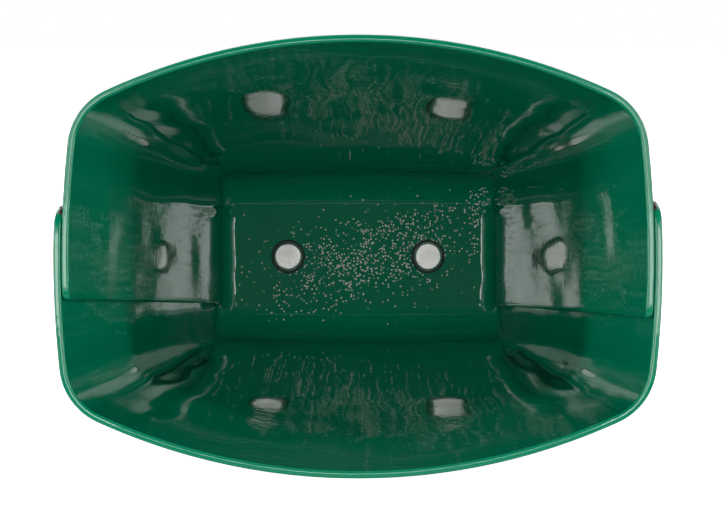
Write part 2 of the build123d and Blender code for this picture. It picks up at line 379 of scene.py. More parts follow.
@dataclass(frozen=True)
class HalfSheet:
    """One half of the blank: a panel, its two flaps and half of the crown.

    Each surface is a function of a row, from the rim to the crown, and a column, from the
    left free edge over the panel to the right one. A row is a section across the bell: two
    bowed sides, two corner arcs and the bowed panel, all tangent to each other.

    Args:
        shape: the body's sizes.
        offset: how far the flaps lie inside the overall width.
        left: heights of the left free edge at the rim and at the crown.
        right: heights of the right free edge at the rim and at the crown.
        corner: radius that rounds each flap's corner at the rim.
        flip: -1 for the half that hangs below the axis, else 1.
    """

    shape: BellShape
    offset: float
    left: tuple[float, float]
    right: tuple[float, float]
    corner: float
    flip: int = 1
    panel_columns: int = 72
    corner_columns: int = 12
    flap_columns: int = 26
    corner_rows: int = 8
    wall_rows: int = 96
    fold_rows: int = 18
    crown_rows: int = 10

    def profile(self, inset: float) -> tuple[np.ndarray, np.ndarray]:
        """Panel's middle line from the rim to the crown, as v and w for each row.

        It is straight down the panel, then an arc about the fold's centre. The first rows
        bunch at the rim as corner * (1 - cos), to follow the flaps' rounded corners.

        Args:
            inset: 0 for the outside of the sheet, its thickness for the inside.

        Returns:
            Arrays of v and of w.
        """
        s = self.shape
        slope = math.atan(s.panel_slope)
        radius = s.fold_radius + s.sheet - inset
        centre_w = s.fold_radius + s.sheet
        centre_v = s.crown_height / 2 + s.panel_slope * centre_w
        centre_v -= (s.fold_radius + s.sheet) / math.cos(slope)
        turn = np.linspace(slope, math.pi / 2, self.fold_rows + 1)
        fold_w = centre_w - radius * np.sin(turn)
        fold_v = centre_v + radius * np.cos(turn)
        start = s.length - s.edge_round
        bunch = self.corner * (1 - np.cos(np.linspace(0, math.pi / 2, self.corner_rows + 1)))
        wall_w = np.linspace(start - self.corner, fold_w[0], self.wall_rows + 1)
        w = np.concatenate((start - bunch, wall_w[1:]))
        v = fold_v[0] + (w - fold_w[0]) * s.panel_slope
        return np.concatenate((v, fold_v[1:])), np.concatenate((w, fold_w[1:]))

    def free_edge(self, w: np.ndarray, heights: tuple[float, float]) -> np.ndarray:
        """Height of a free edge: a straight line with a rounded corner at the rim.

        The corner adds r - sqrt(r^2 - x^2), where x is how far w has gone into it.

        Args:
            w: places along the axis.
            heights: heights of the edge at the rim and at the crown.

        Returns:
            The height at each w.
        """
        s = self.shape
        line = heights[1] + (heights[0] - heights[1]) * w / s.length
        reach = np.clip(self.corner - (s.length - s.edge_round - w), 0.0, self.corner)
        return line + s.edge_round + self.corner - np.sqrt(self.corner**2 - reach**2)

    def flap(self, v: np.ndarray, w: np.ndarray, inset: float) -> np.ndarray:
        """Distance of a flap from the middle plane.

        It is an arc of radius R / share, so that its bow fades towards the crown:
        half width - R + sqrt(R^2 - v^2).

        Args:
            v: heights on the flap.
            w: places along the axis.
            inset: how far inside the outer face the surface lies.

        Returns:
            The size of u at each point.
        """
        s = self.shape
        side = s.side_radius / s.share(w) - inset
        half = s.crown_width / 2 + s.side_slope * w - self.offset - inset
        return half - side + np.sqrt(side**2 - v**2)

    def section(self, v_top: np.ndarray, w: np.ndarray, inset: float) -> np.ndarray:
        """Sections across the bell, one for each row.

        The panel is an arc whose sagitta grows from nothing at the crown, and so are the
        sides. Each corner arc touches both: its centre is found by going back and forth
        between the two conditions, which settles in a few steps.

        Args:
            v_top: height of the panel's middle for each row.
            w: place along the axis for each row.
            inset: how far inside the outer face the surface lies.

        Returns:
            (rows, columns, 3) points.
        """
        s = self.shape
        f = s.share(w)
        half = s.crown_width / 2 + s.side_slope * w - self.offset - inset
        panel = s.panel_radius / f * ((half + inset) / (s.mouth_width / 2)) ** 2 - inset
        side = s.side_radius / f - inset
        corner = s.crown_corner + (s.mouth_corner - s.crown_corner) * w / s.length - inset
        cu, cv = half - corner, v_top - corner
        for _ in range(SETTLE_STEPS):
            cv = v_top - panel + np.sqrt((panel - corner) ** 2 - cu**2)
            cu = half - side + np.sqrt((side - corner) ** 2 - cv**2)
        panel_end = np.arcsin(cu / (panel - corner))[:, None]
        side_end = math.pi / 2 - np.arcsin(cv / (side - corner))[:, None]
        step = np.linspace(0, 1, self.corner_columns + 1)[None, :]
        turn = panel_end + (side_end - panel_end) * step
        corner_u = cu[:, None] + corner[:, None] * np.sin(turn)
        corner_v = cv[:, None] + corner[:, None] * np.cos(turn)
        spread = panel_end * np.linspace(-1, 1, self.panel_columns + 1)[None, :]
        panel_u = panel[:, None] * np.sin(spread)
        panel_v = v_top[:, None] - panel[:, None] * (1 - np.cos(spread))
        drop = np.linspace(0, 1, self.flap_columns + 1)[None, :]
        flaps = []
        for heights in (self.left, self.right):
            edge = self.free_edge(w, heights)[:, None]
            flap_v = corner_v[:, -1:] + (edge - corner_v[:, -1:]) * drop
            flap_u = self.flap(flap_v, w[:, None], inset)
            flaps.append((flap_u, flap_v))
        (left_u, left_v), (right_u, right_v) = flaps
        u = np.concatenate(
            (-left_u[:, :0:-1], -corner_u[:, :0:-1], panel_u, corner_u[:, 1:],
             right_u[:, 1:]), axis=1)
        v = np.concatenate(
            (left_v[:, :0:-1], corner_v[:, :0:-1], panel_v, corner_v[:, 1:],
             right_v[:, 1:]), axis=1)
        return np.stack((u, v * self.flip, np.broadcast_to(w[:, None], u.shape)), axis=-1)

    def crown(self, last: np.ndarray, common: np.ndarray, inset: float) -> np.ndarray:
        """Half of the crown, from the fold's end to the bell's middle plane.

        A row keeps the columns of the fold's last row and takes the lower of their heights
        and its own, so that the rows sweep past the corner arcs. Towards the middle the
        columns move over to a spacing that both halves share.

        Args:
            last: the fold's last row without its flaps, (columns, 3).
            common: the shared u of each column on the middle plane.
            inset: how far inside the outer face the surface lies.

        Returns:
            (rows, columns, 3) points.
        """
        heights = last[:, 1] * self.flip
        stops = heights[: self.corner_columns + 1][::-1]
        low = stops[-1]
        rows = np.concatenate(([heights.max()], stops,
                               np.linspace(low, 0.0, self.crown_rows + 1)[1:]))
        v = np.minimum(heights[None, :], rows[:, None])
        blend = ease(low - rows, 0.0, low)[:, None]
        u = last[None, :, 0] * (1 - blend) + common[None, :] * blend
        return np.stack((u, v * self.flip, np.full_like(u, inset)), axis=-1)

    @property
    def middle(self) -> slice:
        """Columns of a row without its flaps: both corners and the panel."""
        return slice(self.flap_columns, -self.flap_columns)


# ---------------------------------------------------------------- folded body


@dataclass
class FoldedBody:
    """The painted body: both halves of the blank, joined through the crown."""

    axes: BellAxes
    shape: BellShape = field(default_factory=BellShape)
    inner_left: tuple[float, float] = (-10.0, -15.2)
    inner_right: tuple[float, float] = (-14.2, -15.7)
    outer_left: tuple[float, float] = (11.7, 13.5)
    outer_right: tuple[float, float] = (12.8, 14.0)
    # Line across the crown along which glints are painted as near-white specks.
    speck_middle: float = 5.0
    speck_length: float = 26.0
    speck_rise: float = 0.22
    speck_width: float = 10.5
    dent_depth: float = 0.34
    dent_pitch: float = 46.0
    ripple_depth: float = 0.10
    ripple_pitch: float = 15.0

    def halves(self) -> tuple[HalfSheet, HalfSheet]:
        """Cuts the body's blank into its two U halves.

        Returns:
            The half with the inner flaps above and the half with the outer ones below.
        """
        upper = HalfSheet(self.shape, self.shape.inner_offset, self.inner_left,
                          self.inner_right, corner=1.5)
        lower = HalfSheet(self.shape, 0.0, tuple(-v for v in self.outer_left),
                          tuple(-v for v in self.outer_right), corner=5.0, flip=-1)
        return upper, lower

    def dent(self, points: np.ndarray) -> np.ndarray:
        """How far the sheet is pushed in at each point, in millimetres.

        Two fields of waves, each as depth * (1 + waves) / 2, fade to nothing at the rim and
        the crown, so the body never leaves its nominal size.

        Args:
            points: (..., 3) bell coordinates.

        Returns:
            The depth at each point.
        """
        w = points[..., 2]
        fade = ease(w, 6.0, 40.0) * (1 - ease(w, 160.0, self.shape.length - 1.0))
        broad = (1 + waves(points, self.dent_pitch, SEED)) / 2 * self.dent_depth
        fine = (1 + waves(points, self.ripple_pitch, SEED + 1)) / 2 * self.ripple_depth
        return (broad + fine) * fade

    def dents(self, inner: np.ndarray, outer: np.ndarray) -> tuple[np.ndarray, np.ndarray]:
        """Moves both faces of the sheet inward together by the depth of the dents.

        Args:
            inner: (rows, columns, 3) points of the inner face.
            outer: the same of the outer face.

        Returns:
            Both faces, dented.
        """
        normal = outer - inner
        normal /= np.linalg.norm(normal, axis=-1, keepdims=True)
        shift = normal * self.dent((inner + outer) / 2)[..., None]
        return inner - shift, outer - shift

    def rounded_edge(self, inner: np.ndarray, outer: np.ndarray) -> np.ndarray:
        """Edge of the sheet carried along a path: flat, with a rounded arris at each face.

        The profile starts at the inner face, turns a quarter circle, crosses the sheet and
        turns a quarter circle back to the outer face. Outward is the cross product of the
        path's direction and the sheet's normal.

        Args:
            inner: (count, 3) path on the inner face.
            outer: (count, 3) path on the outer face.

        Returns:
            (count, profile, 3) points.
        """
        radius = self.shape.edge_round
        across = outer - inner
        thickness = np.linalg.norm(across, axis=1, keepdims=True)
        normal = across / thickness
        path = np.gradient((inner + outer) / 2, axis=0)
        outward = np.cross(path, normal)
        outward /= np.linalg.norm(outward, axis=1, keepdims=True)
        turn = np.linspace(0, math.pi / 2, 7)
        start = radius * (1 - np.cos(turn))
        rise = radius * np.sin(turn)
        x = np.concatenate((np.broadcast_to(start, (len(inner), 7)),
                            thickness - start[::-1][None, :]), axis=1)
        z = np.concatenate((rise, rise[::-1]))
        return inner[:, None] + normal[:, None] * x[..., None] + outward[:, None] * z[:, None]

    def add_half(self, maker: MeshMaker, half: HalfSheet, common: dict[float, np.ndarray]) -> None:
        """Adds one half of the blank: two faces, the rounded edge, the ends and the crown.

        Args:
            maker: collects the surfaces.
            half: which half.
            common: u of the crown's columns on the middle plane, for each inset.
        """
        thickness = self.shape.sheet
        outer = half.section(*half.profile(0.0), 0.0)
        inner = half.section(*half.profile(thickness), thickness)
        inner, outer = self.dents(inner, outer)
        for wall in (inner, outer):
            maker.grid(wall)
        path = [np.concatenate((wall[::-1, 0], wall[0, 1:-1], wall[:, -1]))
                for wall in (inner, outer)]
        if half.flip < 0:
            path = [line[::-1] for line in path]
        edge = self.rounded_edge(*path)
        maker.grid(edge)
        for end in (edge[0], edge[-1]):
            maker.polygon(end)
        count = half.flap_columns + 1
        for columns in (slice(0, count), slice(-count, None)):
            maker.grid(np.stack((inner[-1, columns], outer[-1, columns])))
        crowns = [half.crown(wall[-1, half.middle], common[inset], inset)
                  for wall, inset in ((inner, thickness), (outer, 0.0))]
        for crown in crowns:
            maker.grid(crown)
        for column in (0, -1):
            maker.grid(np.stack([crown[:, column] for crown in crowns]))

    def mark(self, mesh: bpy.types.Mesh) -> None:
        """Stores where light is painted on the inside, as two attributes from 0 to 1.

        The first is exp(-run^2 - rise^2) about a slanted line across the crown, with a strip
        at its right end: there glints are painted as near-white grains. The second is a patch
        on each flap beside the crown, where a reflection is painted as a pale, dull film. Only
        faces that look inwards have either.

        Args:
            mesh: the body's mesh, already in place.
        """
        a = self.axes
        places = np.empty(len(mesh.vertices) * 3)
        normals = np.empty(len(mesh.vertices) * 3)
        mesh.vertices.foreach_get("co", places)
        mesh.vertices.foreach_get("normal", normals)
        basis = np.stack((a.across, a.up, a.along), axis=1)
        u, v, w = ((places.reshape(-1, 3) - a.origin) @ basis / MM).T
        inwards, _, forwards = (normals.reshape(-1, 3) @ basis).T
        # Painted glints: near-white grains along a line across the crown and a strip at its right
        # end.
        run = (u - self.speck_middle) / self.speck_length
        rise = (v - self.speck_rise * (u - self.speck_middle)) / self.speck_width
        corner = np.exp(-(((u - 39.0) / 3.0) ** 2)) * ease(v, -2.0, 8.0)
        glint_specks = np.maximum(1.35 * np.exp(-run**2 - rise**2), 1.3 * corner)
        glint_specks *= (forwards > 0.8) * (w < 2 * self.shape.sheet)
        # Painted reflection: a pale, dull patch on each flap beside the crown.
        left = ease(w, 6.0, 16.0) * (1 - ease(w, 40.0, 92.0)) * (1 - ease(v, -8.0, 0.0))
        right = ease(w, 4.0, 10.0) * (1 - ease(w, 26.0, 74.0)) * (1 - ease(v, 10.0, 16.0))
        dust = np.where(u < 0, left * (inwards > 0.6), right * (inwards < -0.6))
        for name, values in (("glint_specks", glint_specks), ("dust", dust)):
            layer = mesh.attributes.new(name, "FLOAT", "POINT")
            layer.data.foreach_set("value", values.astype(np.float32))

    def build(self) -> bpy.types.Object:
        """Builds the body as one closed mesh and puts it on the bell.

        Returns:
            The finished piece.
        """
        halves = self.halves()
        common = {}
        for inset in (0.0, self.shape.sheet):
            rows = [half.section(*half.profile(inset), inset)[-1, half.middle, 0]
                    for half in halves]
            common[inset] = (rows[0] + rows[1]) / 2
        maker = MeshMaker()
        for half in halves:
            self.add_half(maker, half, common)
        piece = maker.build("folded_body", self.axes)
        self.mark(piece.data)
        return hand_over(piece, "bell", "green_coat", "bell_shell")


# ---------------------------------------------------------------- braze


@dataclass
class CrownFillet:
    """Painted braze in the corner where the crown's end meets an inner flap.

    The path runs from the fold's corner down the flap to its free edge, and a little on. The
    section is a quarter circle, concave, whose legs lie on the crown and on the flap.
    """

    body: FoldedBody
    side: Side
    leg: float = 4.3
    root: float = 0.5
    sections: int = 110
    arc_points: int = 12

    def path(self) -> tuple[np.ndarray, np.ndarray]:
        """Line that the fillet follows.

        Returns:
            Evenly spaced points (u, v) on the crown's edge, and the inward normals there.
        """
        half = self.body.halves()[0]
        sheet = self.body.shape.sheet
        row = half.section(*half.profile(sheet), sheet)[-1, :, :2]
        count = half.flap_columns + half.corner_columns + 1
        edge = row[-count:] if self.side is Side.RIGHT else row[count - 1::-1]
        drip = edge[-1] + np.array((self.side.value * 1.1, -1.5))
        edge = np.concatenate((edge, drip[None]))
        run = np.concatenate(([0.0], np.cumsum(np.linalg.norm(np.diff(edge, axis=0), axis=1))))
        even = np.linspace(0, run[-1], self.sections)
        points = np.stack([np.interp(even, run, edge[:, k]) for k in (0, 1)], axis=-1)
        heading = np.gradient(points, axis=0)
        heading /= np.linalg.norm(heading, axis=1, keepdims=True)
        return points, self.side.value * np.stack((heading[:, 1], -heading[:, 0]), axis=-1)

    def build(self) -> bpy.types.Object:
        """Builds the fillet as a closed tube.

        Returns:
            The finished piece.
        """
        points, inward = self.path()
        sheet, slope = self.body.shape.sheet, self.body.shape.side_slope
        share = np.linspace(0, 1, self.sections)
        lumps = 1 + 0.09 * waves(np.column_stack((points, share * 0)), 9.0, SEED + 3)
        taper = (0.12 + 0.88 * ease(share, 0.0, 0.16)) * (1 - 0.9 * ease(share, 0.97, 1.0) ** 2)
        leg = (self.leg * lumps * taper)[:, None]
        turn = np.linspace(0, math.pi / 2, self.arc_points)[None, :]
        reach = leg * (1 - np.sin(turn))
        rise = leg * (1 - np.cos(turn))
        reach = np.concatenate((reach, reach[:, -1:] - self.root, 0 * leg - self.root, leg), 1)
        rise = np.concatenate((rise, rise[:, -1:], 0 * leg - self.root, 0 * leg - self.root), 1)
        reach = reach - slope * np.maximum(rise, 0)
        flat = points[:, None] + inward[:, None] * reach[..., None]
        maker = MeshMaker()
        maker.tube(np.concatenate((flat, sheet + rise[..., None]), axis=-1))
        piece = maker.build(self.side.named("crown_fillet"), self.body.axes, 60.0)
        return hand_over(piece, "bell", "green_coat", self.side.named("crown_braze"))


@dataclass
class SeamBead:
    """Braze run along the free edge of an outer flap, against the inner flap.

    The section is a quarter ellipse between the flap's face and its edge. Its size goes up
    and down with the ripples that each touch of the rod leaves.
    """

    body: FoldedBody
    side: Side
    width: float = 1.4
    height: float = 1.5
    root: float = 0.6
    start: float = 5.0
    end_gap: float = 1.3
    ripple_pitch: float = 2.4
    sections: int = 420
    arc_points: int = 8

    def build(self) -> bpy.types.Object:
        """Builds the bead as a closed tube along w.

        Returns:
            The finished piece.
        """
        upper, lower = self.body.halves()
        sign = self.side.value
        edge = lower.left if self.side is Side.LEFT else lower.right
        w = np.linspace(self.start, self.body.shape.length - self.end_gap, self.sections)
        level = -lower.free_edge(w, edge)
        wall = upper.flap(level, w, 0.0)
        path = np.stack((sign * wall, level, w), axis=-1)
        wall = wall - self.body.dent(path)
        ripple = np.abs(np.sin(w * math.pi / self.ripple_pitch + waves(path, 9.0, SEED + 4)))
        size = 0.80 + 0.12 * ripple + 0.10 * waves(path, 5.0, SEED + 5)
        size *= ease(w, self.start - 1.5, self.start + 2.0)
        turn = np.linspace(0, math.pi / 2, self.arc_points)[None, :]
        out = self.width * size[:, None] * np.sin(turn)
        up = self.height * size[:, None] * np.cos(turn)
        back = np.full((self.sections, 1), -self.root)
        out = np.concatenate((out, out[:, -1:], back, back), axis=1)
        up = np.concatenate((up, back, back, up[:, :1]), axis=1)
        u = sign * (wall[:, None] + out)
        maker = MeshMaker()
        maker.tube(np.stack((u, level[:, None] + up, w[:, None] + 0 * u), axis=-1))
        piece = maker.build(self.side.named("seam_bead"), self.body.axes, 60.0)
        return hand_over(piece, "bell", "seam_braze", self.side.named("seam_braze"))


# ---------------------------------------------------------------- rivets and washers


@dataclass
class Rivet:
    """Steel rivet: a domed head on the strap and a tail hammered over a washer inside."""

    body: FoldedBody
    side: Side
    strap: float = 2.5
    washer_thickness: float = 1.0
    shank_radius: float = 2.5
    head_radius: float = 4.7
    head_height: float = 3.0
    tail_radius: float = 4.7
    tail_height: float = 2.4
    flat_radius: float = 3.9
    facets: int = 6
    facet_tilt: float = 0.048
    top_rows: int = 26
    washer_radius: float = 5.4
    washer_hole: float = 2.55

    @property
    def centre(self) -> tuple[float, float]:
        """u and v of the rivet."""
        return self.side.value * self.body.shape.rivet_spacing / 2, 0.0

    def washer(self) -> "Washer":
        """The washer between the crown and the rivet's tail."""
        sheet = self.body.shape.sheet
        return Washer(self.side.named("black_washer"), self.side.named("rivet_washer"),
                      "black_washer", self.centre, sheet, sheet + self.washer_thickness,
                      self.washer_radius, self.washer_hole)

    def build(self) -> bpy.types.Object:
        """Builds the rivet as one turned surface, then flattens its tail with hammer marks.

        The head is an ellipse quarter. The tail is a flat with a small step and a rounded
        edge. Its flat is cut down to the lowest of several tilted planes.

        Returns:
            The finished piece.
        """
        centre = self.centre
        seat = self.body.shape.sheet + self.washer_thickness
        top = seat + self.tail_height
        turn = np.linspace(0, math.pi / 2, 18)
        head = np.stack((self.head_radius * np.sin(turn),
                         -self.strap - 0.25 - (self.head_height - 0.25) * np.cos(turn)), axis=-1)
        stem = outline([
            (self.head_radius, -self.strap - 0.25, 0), (self.head_radius - 0.15, -self.strap, 0),
            (self.shank_radius, -self.strap, 0), (self.shank_radius, seat, 0),
            (self.tail_radius - 0.2, seat, 0.12), (self.tail_radius, seat + 0.55, 0.3),
            (self.tail_radius - 0.2, top - 1.1, 0.5), (self.flat_radius + 0.15, top - 0.55, 0.2),
            (self.flat_radius, top, 0.15), (self.flat_radius - 0.6, top, 0)], steps=5)
        flat = np.linspace(self.flat_radius - 0.6, 0, self.top_rows)[1:]
        cap = np.stack((flat, np.full_like(flat, top)), axis=-1)
        maker = MeshMaker()
        points = maker.turned(np.concatenate((head, stem, cap)), centre, TURN_COLUMNS)
        draws = np.random.default_rng(SEED + 7 + self.side.value)
        tilt = draws.normal(scale=self.facet_tilt, size=(2, self.facets))
        spot = points[..., :2] - np.array(centre)
        planes = top + draws.uniform(-0.06, 0.16, self.facets) + spot @ tilt
        points[..., 2] = np.minimum(points[..., 2], planes.min(axis=-1))
        out_of_round = 1 + 0.018 * waves(points / 2.0, 4.0, SEED + 9) * ease(
            points[..., 2], seat, seat + 0.5)
        points[..., :2] = np.array(centre) + spot * out_of_round[..., None]
        maker.grid(points, closed=True)
        piece = maker.build(self.side.named("hammered_rivet"), self.body.axes, 28.0)
        return hand_over(piece, "bell", "rivet_steel", self.side.named("rivet"))


@dataclass(frozen=True)
class Washer:
    """Flat stamped washer: rounded where the punch drew the metal in, crisp on the other face.

    Args:
        name: the piece's name.
        node: the CAD node that it stands for.
        slot: the record's material slot.
        centre: u and v of its hole.
        low: w of its crisp face.
        high: w of its rounded face.
        outer: outer radius.
        hole: inner radius.
        roll: radius of the rounded edge.
    """

    name: str
    node: str
    slot: str
    centre: tuple[float, float]
    low: float
    high: float
    outer: float
    hole: float
    roll: float = 0.35

    def build(self, axes: BellAxes) -> bpy.types.Object:
        """Builds the washer as a turned ring.

        Args:
            axes: where bell coordinates lie in the row frame.

        Returns:
            The finished piece.
        """
        crisp = 0.08
        section = outline([(self.hole, self.low, crisp), (self.outer, self.low, crisp),
                           (self.outer, self.high, self.roll), (self.hole, self.high, self.roll)],
                          closed=True)
        maker = MeshMaker()
        maker.grid(maker.turned(section, self.centre, TURN_COLUMNS), closed=True)
        piece = maker.build(self.name, axes, 50.0)
        return hand_over(piece, "bell", self.slot, self.node)


# ---------------------------------------------------------------- rod clamp


@dataclass(frozen=True)
class Thread:
    """Right-handed 6 mm thread of 1 mm pitch about the bell's axis.

    Its phase is w / pitch - angle / (2 pi), and its radius falls from the crest by depth
    times a triangle wave of the phase with its crest and root cut flat. The nut's thread has
    the same phase, so the two stay meshed when the nut turns and draws the bolt.
    """

    radius: float = 2.97
    pitch: float = 1.0
    depth: float = 0.54
    columns: int = 56
    rows_per_pitch: int = 10

    def surface(self, low: float, high: float, clearance: float, chamfer: float,
                smooth_above: float = FAR) -> np.ndarray:
        """Threaded surface from low to high.

        Args:
            low: w of its free end.
            high: w of its other end.
            clearance: added to the radius.
            chamfer: how much the free end's radius is cut.
            smooth_above: above this w the thread runs out into the plain shank.

        Returns:
            (rows, columns, 3) points.
        """
        rows = int((high - low) / self.pitch * self.rows_per_pitch) + 1
        w = np.linspace(low, high, rows)[:, None]
        angle = np.linspace(0, 2 * math.pi, self.columns, endpoint=False)[None, :]
        phase = (w / self.pitch - angle / (2 * math.pi)) % 1.0
        wave = np.clip(np.abs(2 * phase - 1) * 1.35 - 0.175, 0.0, 1.0)
        radius = self.radius + clearance - self.depth * wave * (1 - ease(w, smooth_above - 1,
                                                                         smooth_above))
        radius = np.minimum(radius, self.radius + clearance - chamfer + (w - low))
        return np.stack((radius * np.cos(angle), radius * np.sin(angle), w + 0 * angle), axis=-1)


@dataclass
class Strap:
    """Pressed strap with notched lips: the CAD shape with its stamped edges broken."""

    edge_round: float = 0.32

    def build(self) -> bpy.types.Object:
        """Merges a copy of the CAD mesh, joins its flat triangles and rounds its edges.

        Returns:
            The finished piece.
        """
        mesh = frame["nodes"]["mount_bracket"].data.copy()
        work = bmesh.new()
        work.from_mesh(mesh)
        bmesh.ops.remove_doubles(work, verts=work.verts, dist=WELD)
        bmesh.ops.dissolve_limit(work, angle_limit=math.radians(0.4), verts=work.verts,
                                 edges=work.edges)
        work.to_mesh(mesh)
        work.free()
        piece = bpy.data.objects.new("pressed_strap", mesh)
        bpy.context.scene.collection.objects.link(piece)
        bevel = piece.modifiers.new("broken_edges", "BEVEL")
        bevel.width = self.edge_round * MM
        bevel.segments = 3
        bevel.angle_limit = math.radians(40)
        finish_mesh(piece, 32.0)
        return hand_over(piece, "bell", "strap_plate", "mount_bracket")


@dataclass
class EyeBolt:
    """Forged eye across the bell's axis on a threaded shank."""

    axes: BellAxes
    centre: float = -11.5
    hole: float = 5.0
    outer: float = 10.0
    half_width: float = 4.0
    shank: float = 2.97
    end: float = -40.4
    thread_top: float = -25.2
    thread: Thread = field(default_factory=Thread)

    def eye(self) -> np.ndarray:
        """Ring about the rod: a rounded section turned about v through the eye's centre.

        Its width falls by 1 - x^2 from the middle of the ring's wall to its two edges.

        Returns:
            (angles, section, 3) points.
        """
        width = self.half_width
        section = outline([(self.hole, -width, 1.0), (self.outer, -width, 1.9),
                           (self.outer, width, 1.9), (self.hole, width, 1.0)], closed=True,
                          steps=7)
        middle = (self.hole + self.outer) / 2
        crown = 1 - ((section[:, :1] - middle) / (self.outer - middle)) ** 2
        section[:, 1:] *= 0.93 + 0.07 * crown
        angle = np.linspace(0, 2 * math.pi, 96, endpoint=False)
        r, v = section[:, :1], section[:, 1:]
        return np.stack((r * np.cos(angle), v + 0 * angle, self.centre + r * np.sin(angle)),
                        axis=-1)

    def build(self) -> bpy.types.Object:
        """Builds the ring and the shank, whose flared neck runs into the ring's metal.

        Returns:
            The finished piece.
        """
        maker = MeshMaker()
        maker.grid(self.eye(), closed=True)
        screw = self.thread.surface(self.end, self.thread_top, 0.0, 0.75, self.thread_top)
        neck = outline([(self.shank, self.thread_top, 0),
                        (self.shank, self.centre - self.outer - 0.9, 2.2),
                        (self.shank + 2.2, self.centre - self.outer + 1.6, 0),
                        (0.0, self.centre - self.outer + 2.4, 0)], steps=8)
        maker.grid(screw, closed=True)
        maker.grid(maker.turned(neck, columns=self.thread.columns), closed=True)
        maker.polygon(screw[0])
        piece = maker.build("forged_eye_bolt", self.axes, 50.0)
        return hand_over(piece, "eye_bolt", "bolt_plate", "eye_bolt")


@dataclass
class WingNut:
    """Cast wing nut: a tapered hub and two dished wings that run together, then a thread."""

    axes: BellAxes
    seat: float = -30.8
    height: float = 8.0
    base_radius: float = 6.5
    top_radius: float = 5.0
    tip_radius: float = 4.15
    tip: tuple[float, float] = (11.75, -42.55)
    root_radius: float = 2.6
    root: tuple[float, float] = (3.7, -34.6)
    wing_half: float = 1.6
    dish: float = 0.45
    voxel: float = 0.20
    thread: Thread = field(default_factory=Thread)

    def wing(self, side: Side) -> np.ndarray:
        """One wing as a closed surface.

        Its outline is the hull of a large circle at the tip and a small one at the root:
        the support point of the hull in each direction. Rings shrink from the outline to its
        middle, and the half thickness is that of a rounded edge less a shallow dish.

        Args:
            side: which wing.

        Returns:
            (rings, angles, 3) points.
        """
        angle = np.linspace(0, 2 * math.pi, 97)[:-1]
        heading = np.stack((np.cos(angle), np.sin(angle)), axis=-1)
        tip = np.array((self.tip[0] * side.value, self.tip[1]))
        root = np.array((self.root[0] * side.value, self.root[1]))
        far = (heading @ tip + self.tip_radius) > (heading @ root + self.root_radius)
        edge = np.where(far[:, None], tip + heading * self.tip_radius,
                        root + heading * self.root_radius)
        turn = np.linspace(0, math.pi / 2, 10)
        inset = np.concatenate((1 - 0.30 * (1 - np.cos(turn)), np.linspace(0.70, 0.0, 12)[1:]))
        thick = np.concatenate((self.wing_half * np.sin(turn), np.full(11, self.wing_half)))
        thick = thick - self.dish * (1 - ease(inset, 0.35, 0.72))
        middle = tip * 0.62 + root * 0.38
        flat = middle + inset[:, None, None] * (edge - middle)
        v = thick[:, None] + 0 * angle
        above = np.stack((flat[..., 0], v, flat[..., 1]), axis=-1)
        below = np.stack((flat[..., 0], -v, flat[..., 1]), axis=-1)
        return np.concatenate((above[::-1], below[1:]))

    def build(self) -> bpy.types.Object:
        """Melts the hub and the wings into one casting, then cuts the thread through it.

        Returns:
            The finished piece.
        """
        top = self.seat - self.height
        maker = MeshMaker()
        hub = outline([(0, self.seat, 0), (self.base_radius, self.seat, 0.35),
                       (self.top_radius, top, 0.9), (0, top, 0)], steps=6)
        maker.grid(maker.turned(hub), closed=True)
        for side in Side:
            maker.grid(self.wing(side), closed=True)
        piece = maker.build("cast_wing_nut", self.axes)
        melt = piece.modifiers.new("melt", "REMESH")
        melt.mode = "VOXEL"
        melt.voxel_size = self.voxel * MM
        skin = piece.modifiers.new("skin", "SMOOTH")
        skin.factor, skin.iterations = 0.5, 7
        finish_mesh(piece, 180.0)
        cutter = MeshMaker()
        cutter.tube(self.thread.surface(top - 1.0, self.seat + 1.0, 0.06, 0.0))
        plug = cutter.build("plug", self.axes)
        bore = piece.modifiers.new("bore", "BOOLEAN")
        bore.operation, bore.solver, bore.object = "DIFFERENCE", "EXACT", plug
        finish_mesh(piece, 50.0)
        bpy.data.objects.remove(plug)
        return hand_over(piece, "wing_nut", "bolt_plate", "wing_nut")


@dataclass
class SpringWasher:
    """Split spring washer: a square wire in one turn of a shallow helix."""

    axes: BellAxes
    seat: float = -29.1
    thickness: float = 1.6
    inner: float = 3.3
    outer: float = 5.5
    split: float = 1.2
    offset: float = 0.28
    sections: int = 90
    flat_thickness: float = 1.6
    flat_outer: float = 6.25

    def flat_washer(self) -> Washer:
        """The plain washer between the strap and this one."""
        return Washer("plain_washer", "flat_washer", "bolt_plate", (0.0, 0.0),
                      self.seat + self.flat_thickness, self.seat, self.flat_outer, self.inner)

    def build(self) -> bpy.types.Object:
        """Carries the wire's rounded section round the axis, its ends apart by the split.

        Returns:
            The finished piece.
        """
        half_gap = self.split / 2 / ((self.inner + self.outer) / 2)
        angle = np.linspace(half_gap, 2 * math.pi - half_gap, self.sections)[:, None]
        high, low = self.seat, self.seat - self.thickness + self.offset
        wire = outline([(self.inner, low, 0.2), (self.outer, low, 0.2),
                        (self.outer, high, 0.2), (self.inner, high, 0.2)], closed=True)[:-1]
        drop = self.offset * (angle - half_gap) / (2 * math.pi - 2 * half_gap)
        turn = angle - math.pi / 2
        maker = MeshMaker()
        maker.tube(np.stack((wire[:, 0] * np.cos(turn), wire[:, 0] * np.sin(turn),
                             wire[:, 1] - drop), axis=-1))
        piece = maker.build("spring_washer", self.axes, 50.0)
        return hand_over(piece, "bell", "spring_steel", "lock_washer")


# ---------------------------------------------------------------- finishes

NOISE, RANGE, MATH = "ShaderNodeTexNoise", "ShaderNodeMapRange", "ShaderNodeMath"
MIX, BUMP, CELLS = "ShaderNodeMix", "ShaderNodeBump", "ShaderNodeTexVoronoi"
TIMES, PLUS, BELOW = ({"operation": name} for name in ("MULTIPLY", "ADD", "LESS_THAN"))
COLOURS = {"data_type": "RGBA"}
MIXED = 2  # the output of a mix node that holds its colour
POLYMER_IOR = 1.5


